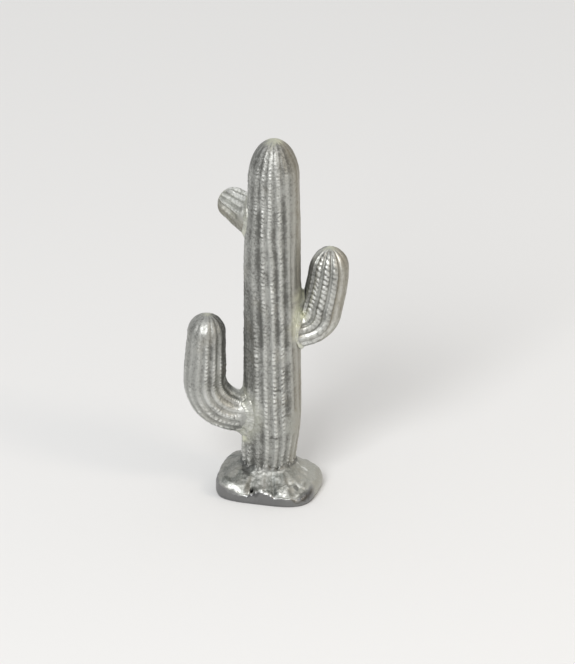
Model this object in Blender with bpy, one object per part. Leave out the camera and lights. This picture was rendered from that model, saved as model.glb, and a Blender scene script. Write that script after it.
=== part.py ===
"""A cast-aluminium saguaro cactus ornament: a ribbed trunk and three ribbed arms on a rock-shaped foot.

Metres, +Z up, front towards -Y. The origin lies on the foot's flat underside, below the trunk's own foot.
The trunk stands on a seat on the rock. Each arm is a casting of its own that butts against the trunk,
and a hand-laid weld fills the corner between the two.
"""

import math
from dataclasses import dataclass

import bmesh
import bpy
from mathutils import Vector, noise

# What separates two castings that touch
FIT_GAP = 0.0003

# The trunk: heights above the floor, the girth's radius at some heights and the sway of its axis along X
TRUNK_FOOT = 0.045
TRUNK_SHOULDER = 0.560
TRUNK_TOP = 0.6126
TRUNK_GIRTHS = ((0.045, 0.0440), (0.110, 0.0478), (0.400, 0.0470), (0.546, 0.0421), (0.560, 0.0405))
TRUNK_SWAY = ((0.045, 0.0), (0.150, 0.0060), (0.400, 0.0060), (0.520, 0.0085))
TRUNK_RIBS = 18
TRUNK_CREST_TURN = math.radians(-88.0)
TRUNK_RING_PITCH = 0.026
# How far the trunk's crests stray from even spacing, in degrees at some heights, by rib from the left flank
# to the right. Every other rib strays as the last row says.
CREST_STRAYS = {
    -3: ((0.08, 8.0), (0.15, 2.0), (0.26, -8.0), (0.40, -13.0), (0.48, -12.0), (0.56, -10.0)),
    -2: ((0.08, 13.0), (0.15, 7.0), (0.26, 4.0), (0.40, -5.0), (0.48, -6.0), (0.56, -5.0)),
    -1: ((0.08, 12.0), (0.15, 5.0), (0.26, 3.0), (0.40, -2.0), (0.48, -6.0), (0.56, -8.0)),
    0: ((0.08, 12.0), (0.15, 3.0), (0.26, 1.0), (0.40, -3.0), (0.48, -12.0), (0.56, -11.0)),
    1: ((0.08, 7.0), (0.15, 0.0), (0.26, -1.0), (0.40, -4.0), (0.48, -9.0), (0.56, -13.0)),
    2: ((0.08, 4.0), (0.15, 4.0), (0.26, -2.0), (0.40, -5.0), (0.48, -9.0), (0.56, -12.0)),
    3: ((0.08, 0.0), (0.15, 0.0), (0.26, -6.0), (0.40, -12.0), (0.48, -11.0), (0.56, -8.0)),
    None: ((0.08, 8.0), (0.15, 3.0), (0.26, -1.0), (0.40, -5.0), (0.48, -8.0), (0.56, -9.0)),
}

# Every rib: a rounded crest band and a V-shaped groove
GROOVE_DEPTH = 0.0032
CREST_BAND = 0.42
ARM_RING_PITCH = 0.016
BEND_RING_TURN = math.radians(11.0)
DOME_RINGS = 4
POLE_GAP = 0.6
GROOVE_FADE = 0.6
CRISP_RIB = math.radians(25.0)

# The rock: a rounded block turned about Z, with an upright wall and a lumpy top that climbs to the seat
ROCK_HALF_WIDTH = 0.0818
ROCK_HALF_DEPTH = 0.0690
ROCK_CENTRE = (0.0008, -0.0130)
ROCK_TURN = math.radians(-15.5)
ROCK_SQUARENESS = 3.6
ROCK_SEAT_RADIUS = 0.0460
# The height at which the rounded shoulder ends, by the angle from +X in degrees
ROCK_SHOULDERS = (
    (-180.0, 0.0340), (-165.0, 0.0310), (-151.0, 0.0262), (-138.0, 0.0205), (-127.0, 0.0150), (-121.0, 0.0140),
    (-115.0, 0.0190), (-109.0, 0.0235), (-101.0, 0.0275), (-94.0, 0.0245), (-88.0, 0.0205), (-84.0, 0.0170),
    (-70.0, 0.0165), (-58.0, 0.0130), (-52.0, 0.0165), (-45.0, 0.0205), (-30.0, 0.0250), (-10.0, 0.0280),
    (20.0, 0.0300), (60.0, 0.0290), (100.0, 0.0330), (130.0, 0.0385), (160.0, 0.0385), (180.0, 0.0340),
)
# How far the shoulder is rounded, by the same angle
ROCK_ROUNDS = (
    (-180.0, 0.016), (-160.0, 0.012), (-148.0, 0.007), (-60.0, 0.007), (-48.0, 0.010), (-35.0, 0.016),
    (-10.0, 0.020), (30.0, 0.020), (60.0, 0.016), (180.0, 0.016),
)
ROCK_ROUND_SHARE = 0.5
# How steeply the top climbs towards the seat: 1 is even, and more is flat first and steep at the end
ROCK_CLIMBS = (
    (-180.0, 0.9), (-150.0, 1.3), (-125.0, 2.2), (-90.0, 2.6), (-60.0, 2.2), (-30.0, 1.5), (0.0, 1.0),
    (40.0, 0.9), (180.0, 0.9),
)
# Up to the shoulder, in shares of its height
ROCK_WALL_STEPS = (0.0, 0.12, 0.30, 0.60, 0.80, 0.94)
ROCK_TUCK = 0.025
ROCK_TUCK_END = 0.30
ROCK_ROUND_START_LEAST = 0.1
ROCK_LUMP_HEIGHT = 0.0050
ROCK_LUMP_SIZE = 0.030
ROCK_LUMP_FADE = 0.7
CRISP_ROCK = math.radians(50.0)
ROCK_SIDES = 48
ROCK_TOP_RINGS = 6

# The welds: a bead of filler laid along the corner between an arm and the trunk
WELD_RADIUS = 0.0075
WELD_RIPPLE = 0.0009
WELD_RIPPLES = 7
WELD_STOPS = 36
WELD_SIDES = 10
WELD_SEARCH_STEP = 0.0005
CROTCH_WIDTH = 2


@dataclass
class Arm:
    """An arm's own sizes. Its centreline leaves the trunk's axis, turns upwards and ends in a dome.

    Each bend is a radius and the angle that the centreline climbs at after it. The elbow ends after
    the first bend.
    """

    name: str
    heading: float
    root_height: float
    root_rise: float
    root_run: float
    bends: tuple
    length: float
    dome: float
    girths: tuple
    ribs: int
    crest_turn: float
    crotch_fill: float
    crotch_rise: float


LEFT_ARM = Arm(
    name="left_arm",
    heading=math.radians(180.0),
    root_height=0.1325,
    root_rise=0.0,
    root_run=0.0500,
    bends=((0.0590, math.radians(92.5)),),
    length=0.2545,
    dome=0.0310,
    girths=((0.045, 0.0335), (0.096, 0.0362), (0.150, 0.0345), (0.233, 0.0315)),
    ribs=15,
    crest_turn=math.radians(92.5),
    crotch_fill=0.0,
    crotch_rise=0.0,
)

RIGHT_ARM = Arm(
    name="right_arm",
    heading=math.radians(9.0),
    root_height=0.2770,
    root_rise=0.0,
    root_run=0.0415,
    bends=((0.0375, math.radians(72.0)), (0.3500, math.radians(88.0))),
    length=0.2025,
    dome=0.0390,
    girths=((0.045, 0.0325), (0.085, 0.0360), (0.120, 0.0345), (0.177, 0.0330)),
    ribs=13,
    crest_turn=math.radians(-103.0),
    crotch_fill=0.0010,
    crotch_rise=0.0120,
)

BACK_ARM = Arm(
    name="back_arm",
    heading=math.radians(145.0),
    root_height=0.4590,
    root_rise=math.radians(13.0),
    root_run=0.0500,
    bends=((0.1500, math.radians(19.0)),),
    length=0.1060,
    dome=0.0240,
    girths=((0.045, 0.0325), (0.085, 0.0265)),
    ribs=13,
    crest_turn=0.0,
    crotch_fill=0.0,
    crotch_rise=0.0,
)

# Finishes: base colour, metallic and roughness
CAST_METAL = ((0.50, 0.50, 0.48), 1.0, 0.42)
ROCK_METAL = ((0.40, 0.40, 0.38), 1.0, 0.34)
WELD_METAL = ((0.60, 0.60, 0.52), 1.0, 0.52)


def clear_scene():
    for thing in list(bpy.data.objects):
        bpy.data.objects.remove(thing, do_unlink=True)


def metal(name, finish):
    colour, metallic, roughness = finish
    material = bpy.data.materials.new(name)
    material.use_nodes = True
    shader = material.node_tree.nodes["Principled BSDF"]
    shader.inputs["Base Color"].default_value = (*colour, 1.0)
    shader.inputs["Metallic"].default_value = metallic
    shader.inputs["Roughness"].default_value = roughness
    return material


def eased(knots, value):
    """A value that passes smoothly through (place, value) knots and stays level beyond them."""
    if value <= knots[0][0]:
        return knots[0][1]
    for (start, first), (end, last) in zip(knots, knots[1:]):
        if value <= end:
            t = (value - start) / (end - start)
            return first + (last - first) * t * t * (3.0 - 2.0 * t)
    return knots[-1][1]


def evenly(start, end, pitch):
    """Places from start to end, both included, about a pitch apart."""
    steps = max(1, round((end - start) / pitch))
    return [start + (end - start) * step / steps for step in range(steps + 1)]


def even_crests(ribs, crest_turn):
    """The angles of evenly spaced crests."""
    return [crest_turn + rib * math.tau / ribs for rib in range(ribs)]


def rib_section(girth, groove, crests):
    """A ribbed cross-section as (angle, radius) pairs: two on each crest and one in each groove."""
    half_band = CREST_BAND / 2.0
    section = []
    for rib, crest in enumerate(crests):
        from_last = (crest - crests[rib - 1]) % math.tau
        to_next = (crests[(rib + 1) % len(crests)] - crest) % math.tau
        section.append((crest - half_band * from_last, girth))
        section.append((crest + half_band * to_next, girth))
        section.append((crest + 0.5 * to_next, girth - groove))
    return section


def ring(bm, x, z, rise, section):
    """Vertices of a section round a centreline that lies in the XZ plane and climbs at an angle."""
    outer = Vector((math.sin(rise), 0.0, -math.cos(rise)))
    side = Vector((0.0, 1.0, 0.0))
    centre = Vector((x, 0.0, z))
    vertices = []
    for angle, radius in section:
        offset = math.cos(angle) * outer + math.sin(angle) * side
        vertices.append(bm.verts.new(centre + radius * offset))
    return vertices


def skin(bm, lower, upper):
    """Quads between two rings, facing out."""
    count = len(lower)
    for i in range(count):
        after = (i + 1) % count
        bm.faces.new((lower[i], lower[after], upper[after], upper[i]))


def cap(bm, rim, centre, facing_back):
    """A fan of triangles from a rim to its centre or pole."""
    middle = bm.verts.new(centre)
    count = len(rim)
    for i in range(count):
        after = (i + 1) % count
        corners = (rim[after], rim[i], middle) if facing_back else (rim[i], rim[after], middle)
        bm.faces.new(corners)


def solid(name, bm, material, parent, sharp_angle=CRISP_RIB):
    """A named object from a bmesh, shaded smooth with its sharper edges kept crisp."""
    mesh = bpy.data.meshes.new(name)
    bm.to_mesh(mesh)
    bm.free()
    mesh.materials.append(material)
    mesh.shade_smooth()
    mesh.set_sharp_from_angle(angle=sharp_angle)
    thing = bpy.data.objects.new(name, mesh)
    thing.parent = parent
    bpy.context.scene.collection.objects.link(thing)
    return thing


def as_cutter(thing):
    thing.hide_render = True
    thing.display_type = "WIRE"
    return thing


def cut_with(thing, *cutters):
    for cutter in cutters:
        modifier = thing.modifiers.new("clear of " + cutter.name, "BOOLEAN")
        modifier.operation = "DIFFERENCE"
        modifier.solver = "EXACT"
        modifier.object = cutter


def limb_skin(centreline, stations, girth_at, crests_at, growth=0.0, dome=0.0):
    """A ribbed limb along a centreline, flat at its start and at its end, or with a dome on its end.

    Growth thickens it all round. Towards a dome's pole the grooves grow shallower.
    """
    bm = bmesh.new()
    rings = []
    for travelled in stations:
        section = rib_section(girth_at(travelled) + growth, GROOVE_DEPTH, crests_at(travelled))
        rings.append(ring(bm, *centreline(travelled), section))
    end = stations[-1]
    tip = end + dome
    for step in range(1, DOME_RINGS + 1) if dome else ():
        turn = step / (DOME_RINGS + POLE_GAP) * math.pi / 2.0
        girth = (girth_at(end) + growth) * math.cos(turn)
        groove = GROOVE_DEPTH * math.cos(turn) ** GROOVE_FADE
        section = rib_section(girth, groove, crests_at(end))
        rings.append(ring(bm, *centreline(end + (dome + growth) * math.sin(turn)), section))
    for lower, upper in zip(rings, rings[1:]):
        skin(bm, lower, upper)
    start_x, start_z, _ = centreline(stations[0])
    end_x, end_z, _ = centreline(tip + growth if dome else tip)
    cap(bm, rings[0], (start_x, 0.0, start_z), facing_back=True)
    cap(bm, rings[-1], (end_x, 0.0, end_z), facing_back=False)
    return bm


def trunk_line(height):
    """The trunk's centreline: it stands upright and sways a little to the right."""
    return eased(TRUNK_SWAY, height), height, math.pi / 2.0


def trunk_crests(height):
    """The trunk's crests at a height. Rib 0 faces the front, and the rest follow it to the right."""
    crests = even_crests(TRUNK_RIBS, TRUNK_CREST_TURN)
    for rib in range(TRUNK_RIBS):
        number = (rib + TRUNK_RIBS // 2) % TRUNK_RIBS - TRUNK_RIBS // 2
        strays = CREST_STRAYS.get(number, CREST_STRAYS[None])
        crests[rib] += math.radians(eased(strays, height))
    return crests


def trunk_mesh(growth=0.0):
    """The trunk's skin from its flat cut to its dome. A section's angle counts from +X."""
    foot = TRUNK_FOOT + FIT_GAP - growth
    stations = evenly(foot, TRUNK_SHOULDER, TRUNK_RING_PITCH)
    return limb_skin(
        trunk_line,
        stations,
        lambda height: eased(TRUNK_GIRTHS, height),
        trunk_crests,
        growth,
        dome=TRUNK_TOP - TRUNK_SHOULDER,
    )


def make_trunk(root, material):
    """The trunk, and the slightly larger copy that cuts its neighbours clear of it."""
    solid("trunk", trunk_mesh(), material, root)
    return as_cutter(solid("trunk_clearance", trunk_mesh(FIT_GAP), material, root))


def arm_line(arm):
    """An arm's centreline in its own XZ plane: straight out, round its bends, and on to the tip."""

    def line(travelled):
        rise = arm.root_rise
        straight = min(travelled, arm.root_run)
        x = straight * math.cos(rise)
        z = straight * math.sin(rise)
        left = travelled - straight
        for radius, rise_after in arm.bends:
            bent = min(left, radius * (rise_after - rise))
            turned = rise + bent / radius
            x += radius * (math.sin(turned) - math.sin(rise))
            z += radius * (math.cos(rise) - math.cos(turned))
            rise = turned
            left -= bent
        return x + left * math.cos(rise), z + left * math.sin(rise), rise

    return line


def elbow_end(arm):
    """The centreline's length up to the end of the first bend."""
    radius, rise_after = arm.bends[0]
    return arm.root_run + radius * (rise_after - arm.root_rise)


def place_on_trunk(thing, arm):
    """An arm's pieces start on the trunk's axis and head outwards."""
    axis_x, height, _ = trunk_line(arm.root_height)
    thing.location = (axis_x, 0.0, height)
    thing.rotation_euler = (0.0, 0.0, arm.heading)
    return thing


def arm_skin(arm, stations, growth=0.0, dome=0.0):
    return limb_skin(
        arm_line(arm),
        stations,
        lambda travelled: eased(arm.girths, travelled),
        lambda travelled: even_crests(arm.ribs, arm.crest_turn),
        growth,
        dome,
    )


def elbow_stations(arm):
    """Rings from the trunk's axis along the root and round the first bend."""
    bend_radius, _ = arm.bends[0]
    root = evenly(0.0, arm.root_run, 2.0 * ARM_RING_PITCH)
    bend = evenly(arm.root_run, elbow_end(arm), bend_radius * BEND_RING_TURN)
    return root + bend[1:]


def make_bent_arm(arm, root, material, trunk_clearance):
    """An arm in two castings: the elbow against the trunk, and the upright that stands on it."""
    elbow = solid(arm.name + "_elbow", arm_skin(arm, elbow_stations(arm)), material, root)
    cut_with(place_on_trunk(elbow, arm), trunk_clearance)
    shoulder = arm.length - arm.dome
    stations = evenly(elbow_end(arm) + FIT_GAP, shoulder, ARM_RING_PITCH)
    upright = solid(arm.name + "_upright", arm_skin(arm, stations, dome=arm.dome), material, root)
    cut_with(place_on_trunk(upright, arm), trunk_clearance)


def make_short_arm(arm, root, material, trunk_clearance):
    """The stub behind the trunk is one casting."""
    stations = evenly(0.0, arm.length - arm.dome, ARM_RING_PITCH)
    stub = solid(arm.name, arm_skin(arm, stations, dome=arm.dome), material, root)
    cut_with(place_on_trunk(stub, arm), trunk_clearance)


def arm_surface(arm, angle, travelled):
    """A point on an arm's crests, counted from the outer side of its bend."""
    x, z, rise = arm_line(arm)(travelled)
    outer = Vector((math.sin(rise), 0.0, -math.cos(rise)))
    side = Vector((0.0, 1.0, 0.0))
    offset = math.cos(angle) * outer + math.sin(angle) * side
    return Vector((x, 0.0, z)) + eased(arm.girths, travelled) * offset


def corner_point(arm, angle):
    """Where an arm's crests come out of the trunk's round side."""
    trunk_girth = eased(TRUNK_GIRTHS, arm.root_height)
    travelled = 0.0
    point = arm_surface(arm, angle, travelled)
    while point.xy.length < trunk_girth:
        travelled += WELD_SEARCH_STEP
        point = arm_surface(arm, angle, travelled)
    return point


def weld_mesh(arm):
    """A closed bead along the corner round an arm's root.

    Where the arm bends back to the trunk the bead is fuller and lies higher, to fill the crotch.
    """
    angles = [math.tau * stop / WELD_STOPS for stop in range(WELD_STOPS)]
    crotches = [max(-math.cos(angle), 0.0) ** CROTCH_WIDTH for angle in angles]
    corner = []
    for angle, crotch in zip(angles, crotches):
        corner.append(corner_point(arm, angle) + Vector((0.0, 0.0, arm.crotch_rise * crotch)))
    bm = bmesh.new()
    rings = []
    for stop, angle in enumerate(angles):
        along = (corner[(stop + 1) % WELD_STOPS] - corner[stop - 1]).normalized()
        outward = Vector((*corner[stop].xy, 0.0))
        outward = (outward - outward.dot(along) * along).normalized()
        across = along.cross(outward)
        radius = WELD_RADIUS + arm.crotch_fill * crotches[stop] + WELD_RIPPLE * math.sin(WELD_RIPPLES * angle)
        vertices = []
        for side in range(WELD_SIDES):
            turn = math.tau * side / WELD_SIDES
            offset = radius * (math.cos(turn) * outward + math.sin(turn) * across)
            vertices.append(bm.verts.new(corner[stop] + offset))
        rings.append(vertices)
    for stop in range(WELD_STOPS):
        skin(bm, rings[stop - 1], rings[stop])
    bmesh.ops.recalc_face_normals(bm, faces=bm.faces)
    return bm


def make_weld(arm, root, material, trunk_clearance):
    """The bead keeps only what lies outside both the trunk and the arm."""
    past_elbow = elbow_end(arm) + 3.0 * ARM_RING_PITCH
    stations = elbow_stations(arm) + evenly(elbow_end(arm), past_elbow, ARM_RING_PITCH)[1:]
    clearance = solid(arm.name + "_clearance", arm_skin(arm, stations, FIT_GAP), material, root)
    as_cutter(place_on_trunk(clearance, arm))
    weld = solid(arm.name + "_weld", weld_mesh(arm), material, root)
    cut_with(place_on_trunk(weld, arm), trunk_clearance, clearance)


def rock_radius(angle):
    """How far the rock's outline lies from its centre, as a superellipse on its own turned axes."""
    own = angle - ROCK_TURN
    width = abs(math.cos(own) / ROCK_HALF_WIDTH) ** ROCK_SQUARENESS
    depth = abs(math.sin(own) / ROCK_HALF_DEPTH) ** ROCK_SQUARENESS
    return (width + depth) ** (-1.0 / ROCK_SQUARENESS)


def by_angle(knots, angle):
    return eased(knots, (math.degrees(angle) + 180.0) % 360.0 - 180.0)


def rock_seat_edge(angle):
    return Vector((ROCK_SEAT_RADIUS * math.cos(angle), ROCK_SEAT_RADIUS * math.sin(angle), 0.0))


def rock_wall_point(angle, share):
    """A point of the wall: share 0 is on the floor, and 1 is where the rounded shoulder ends."""
    tuck = ROCK_TUCK * max(1.0 - share / ROCK_TUCK_END, 0.0) ** 2
    reach = rock_radius(angle) * (1.0 - tuck)
    rim = Vector((*ROCK_CENTRE, 0.0)) + reach * Vector((math.cos(angle), math.sin(angle), 0.0))
    inwards = rock_seat_edge(angle) - rim
    inset = min(by_angle(ROCK_ROUNDS, angle), ROCK_ROUND_SHARE * inwards.length)
    height = by_angle(ROCK_SHOULDERS, angle)
    start = max(1.0 - inset / height, ROCK_ROUND_START_LEAST)
    rounding = max(share - start, 0.0) / (1.0 - start)
    place = rim + inwards.normalized() * inset * (1.0 - math.sqrt(1.0 - rounding ** 2))
    place.z = share * height
    return place


def rock_top_point(angle, inward):
    """A point of the lumpy top: inward 0 is where the shoulder ends, and 1 on the edge of the seat."""
    shoulder = rock_wall_point(angle, 1.0)
    place = Vector((*shoulder.xy, 0.0)).lerp(rock_seat_edge(angle), inward)
    place.z = shoulder.z + (TRUNK_FOOT - shoulder.z) * inward ** by_angle(ROCK_CLIMBS, angle)
    lumpiness = ROCK_LUMP_HEIGHT * math.sin(inward * math.pi) ** ROCK_LUMP_FADE
    place.z += lumpiness * noise.noise(Vector((place.x, place.y, 0.0)) / ROCK_LUMP_SIZE)
    return place


def rock_mesh():
    """The rock: flat underside, rounded lower edge, upright wall, lumpy top and a flat seat."""
    angles = [math.tau * side / ROCK_SIDES for side in range(ROCK_SIDES)]
    bm = bmesh.new()
    rings = [[bm.verts.new(rock_wall_point(angle, share)) for angle in angles] for share in ROCK_WALL_STEPS]
    for step in range(ROCK_TOP_RINGS + 1):
        inward = step / ROCK_TOP_RINGS
        rings.append([bm.verts.new(rock_top_point(angle, inward)) for angle in angles])
    for lower, upper in zip(rings, rings[1:]):
        skin(bm, lower, upper)
    cap(bm, rings[0], (*ROCK_CENTRE, 0.0), facing_back=True)
    cap(bm, rings[-1], (0.0, 0.0, TRUNK_FOOT), facing_back=False)
    return bm


def make_rock(root, material):
    solid("rock_base", rock_mesh(), material, root, CRISP_ROCK)


def build():
    clear_scene()
    root = bpy.data.objects.new("cactus", None)
    bpy.context.scene.collection.objects.link(root)
    cast = metal("cast_aluminium", CAST_METAL)
    filler = metal("weld_filler", WELD_METAL)
    make_rock(root, metal("rock_aluminium", ROCK_METAL))
    trunk_clearance = make_trunk(root, cast)
    make_bent_arm(LEFT_ARM, root, cast, trunk_clearance)
    make_bent_arm(RIGHT_ARM, root, cast, trunk_clearance)
    make_short_arm(BACK_ARM, root, cast, trunk_clearance)
    for arm in (LEFT_ARM, RIGHT_ARM, BACK_ARM):
        make_weld(arm, root, filler, trunk_clearance)


build()
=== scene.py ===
"""The looks of a cast-aluminium saguaro cactus ornament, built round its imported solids.

Metres, +Z up, front towards -Y. The file goes from the trunk to the arms, the welds that hold them and the
rock below, and then to the studio that the ornament stands in.
"""

import math

import bpy
from mathutils import Matrix, Vector, noise


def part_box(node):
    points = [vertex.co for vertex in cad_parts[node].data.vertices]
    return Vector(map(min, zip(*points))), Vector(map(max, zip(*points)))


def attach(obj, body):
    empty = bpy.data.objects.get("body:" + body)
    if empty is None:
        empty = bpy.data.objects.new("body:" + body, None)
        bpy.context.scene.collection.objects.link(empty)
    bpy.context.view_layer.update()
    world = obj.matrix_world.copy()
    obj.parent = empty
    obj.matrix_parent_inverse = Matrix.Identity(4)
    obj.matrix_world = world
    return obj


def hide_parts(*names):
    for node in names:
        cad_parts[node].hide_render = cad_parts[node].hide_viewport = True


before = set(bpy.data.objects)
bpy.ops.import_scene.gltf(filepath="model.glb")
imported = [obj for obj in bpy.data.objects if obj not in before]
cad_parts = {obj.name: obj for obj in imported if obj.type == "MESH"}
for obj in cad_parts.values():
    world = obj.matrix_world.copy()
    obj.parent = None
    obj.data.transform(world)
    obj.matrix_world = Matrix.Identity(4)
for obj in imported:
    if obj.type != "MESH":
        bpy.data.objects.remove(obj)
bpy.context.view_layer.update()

# The trunk
# A hollow sand casting in aluminium, from a pattern carved by hand, with ribs that twist a little. Each rib
# has a row of cast knots, buffed bright and here and there worn away. The grooves keep their dark cast skin.
# Some of the light is painted: shade on flanks that face away from the light, highlights on some flanks, and
# a warm reflection on one side.

TRUNK_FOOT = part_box("trunk")[0][2]
TRUNK_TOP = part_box("trunk")[1][2]
# By the height: the girth, which here is a radius, and how far the axis sways to the right
TRUNK_GIRTHS = ((0.045, 0.0440), (0.110, 0.0478), (0.400, 0.0470), (0.546, 0.0421))
TRUNK_SWAY = ((0.045, 0.0), (0.150, 0.0060), (0.400, 0.0060), (0.520, 0.0085))
TRUNK_STEPS = 280
TRUNK_RIBS = 18
SIDES_PER_RIB = 12
MERGE_DISTANCE = 0.00002
# A casting's plan is a flat sheet: one unit a rib across, so many a metre up, and its rows so far apart
PLAN_SCALE = 100.0
PLAN_STEP = 0.002
# How far below the tip the ribs begin to grow shallow, and are shallowest, and the knots begin to close up
SHALLOW_BELOW = 0.22
SHALLOWEST_BELOW = 0.06
CLOSER_BELOW = 0.20


class Wire:
    """A node's output, in a shader or in a geometry tree. Python's operators on it add Math nodes."""

    def __init__(self, bench, socket):
        self.bench = bench
        self.socket = socket

    def maths(self, operation, *others):
        return self.bench.node("ShaderNodeMath", {"operation": operation}, dict(enumerate((self, *others))))

    def vector(self, operation, other=None):
        values = {0: self}
        if other is not None:
            values["Scale" if operation == "SCALE" else 1] = other
        return self.bench.node("ShaderNodeVectorMath", {"operation": operation}, values)

    def __add__(self, other):
        return self.maths("ADD", other)

    __radd__ = __add__

    def __sub__(self, other):
        return self.maths("SUBTRACT", other)

    def __rsub__(self, other):
        return self.bench.number(other).maths("SUBTRACT", self)

    def __mul__(self, other):
        return self.maths("MULTIPLY", other)

    __rmul__ = __mul__

    def __truediv__(self, other):
        return self.maths("DIVIDE", other)

    def __pow__(self, other):
        return self.maths("POWER", other)

    def within(self, low, high):
        return self.maths("MAXIMUM", low).maths("MINIMUM", high)

    def eased(self, start, end, low=0.0, high=1.0):
        """Low up to start, high from end on, and a smooth step between them."""
        values = {"Value": self, "From Min": start, "From Max": end, "To Min": low, "To Max": high}
        return self.bench.node("ShaderNodeMapRange", {"interpolation_type": "SMOOTHSTEP"}, values)


class Bench:
    """Adds nodes to one tree."""

    def __init__(self, tree):
        self.tree = tree

    def node(self, kind, settings=None, values=None, out=0):
        """Any node: its settings first, then the values or wires of its sockets. Returns one output."""
        node = self.tree.nodes.new(kind)
        for name, setting in (settings or {}).items():
            setattr(node, name, setting)
        for name, value in (values or {}).items():
            if isinstance(value, Wire):
                self.tree.links.new(value.socket, node.inputs[name])
            else:
                node.inputs[name].default_value = value
        return Wire(self, node.outputs[out])

    def number(self, value):
        return self.node("ShaderNodeMath", {"operation": "ADD"}, {0: value, 1: 0.0})

    def split(self, vector):
        """The three parts of a vector."""
        first = self.node("ShaderNodeSeparateXYZ", {}, {0: vector})
        return [Wire(self, first.socket.node.outputs[axis]) for axis in range(3)]

    def noise(self, place, size, detail=2.0):
        """Cloudy noise about 0.5, with lumps of a size in metres."""
        values = {"Vector": place, "Scale": 1.0 / size, "Detail": detail}
        return self.node("ShaderNodeTexNoise", {"noise_dimensions": "3D"}, values)

    def mix(self, share, first, second):
        """A colour between two colours."""
        return self.node("ShaderNodeMix", {"data_type": "RGBA"}, {0: share, 6: first, 7: second}, out=2)

    def mark(self, name):
        """A number that the mesh carries, for a material."""
        return self.node("ShaderNodeAttribute", {"attribute_name": name}, {}, out=2)

    def carried(self, name, kind="FLOAT"):
        """A number or a vector that a mesh carries, for a geometry tree."""
        return self.node("GeometryNodeInputNamedAttribute", {"data_type": kind}, {"Name": name})

    def seeded(self, place, seed):
        """A place moved by the seed, so that like pieces meet other noise."""
        shift = self.node("ShaderNodeCombineXYZ", {}, {0: seed, 1: seed * 0.7, 2: 0.0})
        return place.vector("ADD", shift)


def eased(knots, value):
    """A value that passes smoothly through (place, value) knots and stays level beyond them."""
    if value <= knots[0][0]:
        return knots[0][1]
    for (start, first), (end, last) in zip(knots, knots[1:]):
        if value <= end:
            t = (value - start) / (end - start)
            return first + (last - first) * t * t * (3.0 - 2.0 * t)
    return knots[-1][1]


def window(value, start, end, soft):
    """1 between start and end, and 0 farther than soft outside them."""
    outside = max(start - value, value - end, 0.0) / soft
    return eased(((0.0, 1.0), (1.0, 0.0)), outside)


SOCKET_KINDS = {int: "NodeSocketInt", float: "NodeSocketFloat", tuple: "NodeSocketVector"}
# The inputs of a ribbed casting's node tree, each with its usual size or else its kind
CASTING_INPUTS = {
    "Centreline": "NodeSocketGeometry",
    "Plan": "NodeSocketObject",
    "Ribs": 18,
    "Crest Turn": 0.0,
    "Side": (0.0, 1.0, 0.0),
    "Dome": 0.05,
    "Dome Arc": 0.07,
    "Bald Radius": 0.010,
    "Cap Stain": 0.8,
    # Brown scales a painted warm reflection on the sides that face +X, or on those that face -X below zero
    "Brown": 1.0,
    "Root": -0.01,
    "Root Fade": 0.001,
    "Ring Pitch": 0.0013,
    "Rib Depth": 0.0029,
    "Lean": 0.35,
    "Flat Crest": 0.34,
    "Crest Width": 0.48,
    "Wear": 0.8,
    "Knot Pitch": 0.0074,
    "Knot Height": 0.0015,
    "Knot Edge": 0.7,
    "Knot Squareness": 3.0,
    "Knot Shine": 1.0,
    "Chevron": 0.7,
    "Slant": 0.5,
    "Tilt": 0.0,
    "Waver": 0.02,
    "Unevenness": 0.0006,
    "Shallow Top": 0.0,
    "Closer Top": 0.0,
    "Seed": 0.0,
    "Metal": "NodeSocketMaterial",
}


def new_tree(name, inputs):
    """An empty geometry tree with named inputs: the tree, its bench, its inputs and their identifiers."""
    tree = bpy.data.node_groups.new(name, "GeometryNodeTree")
    identifiers = {}
    for title, usual in inputs.items():
        kind = SOCKET_KINDS.get(type(usual), usual)
        item = tree.interface.new_socket(name=title, in_out="INPUT", socket_type=kind)
        if kind != usual:
            item.default_value = usual
        identifiers[title] = item.identifier
    tree.interface.new_socket(name="Skin", in_out="OUTPUT", socket_type="NodeSocketGeometry")
    bench = Bench(tree)
    entry = tree.nodes.new("NodeGroupInput")
    given = {title: Wire(bench, entry.outputs[title]) for title in inputs}
    return tree, bench, given, identifiers


def finish_tree(bench, skin, marks, target, metal):
    """Stores the marks on the grid, moves it to its place, welds its edges and gives it its metal."""
    for name, value in marks.items():
        values = {0: skin, "Name": name, "Value": value}
        settings = {"data_type": "FLOAT", "domain": "POINT"}
        skin = bench.node("GeometryNodeStoreNamedAttribute", settings, values)
    for kind, values in (
        ("SetPosition", {"Position": target}), ("MergeByDistance", {"Distance": MERGE_DISTANCE}),
        ("SetShadeSmooth", {}), ("RealizeInstances", {}), ("SetMaterial", {"Material": metal}),
    ):
        skin = bench.node("GeometryNode" + kind, {}, {0: skin} | values)
    leave = bench.tree.nodes.new("NodeGroupOutput")
    bench.tree.links.new(skin.socket, leave.inputs[0])


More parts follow.
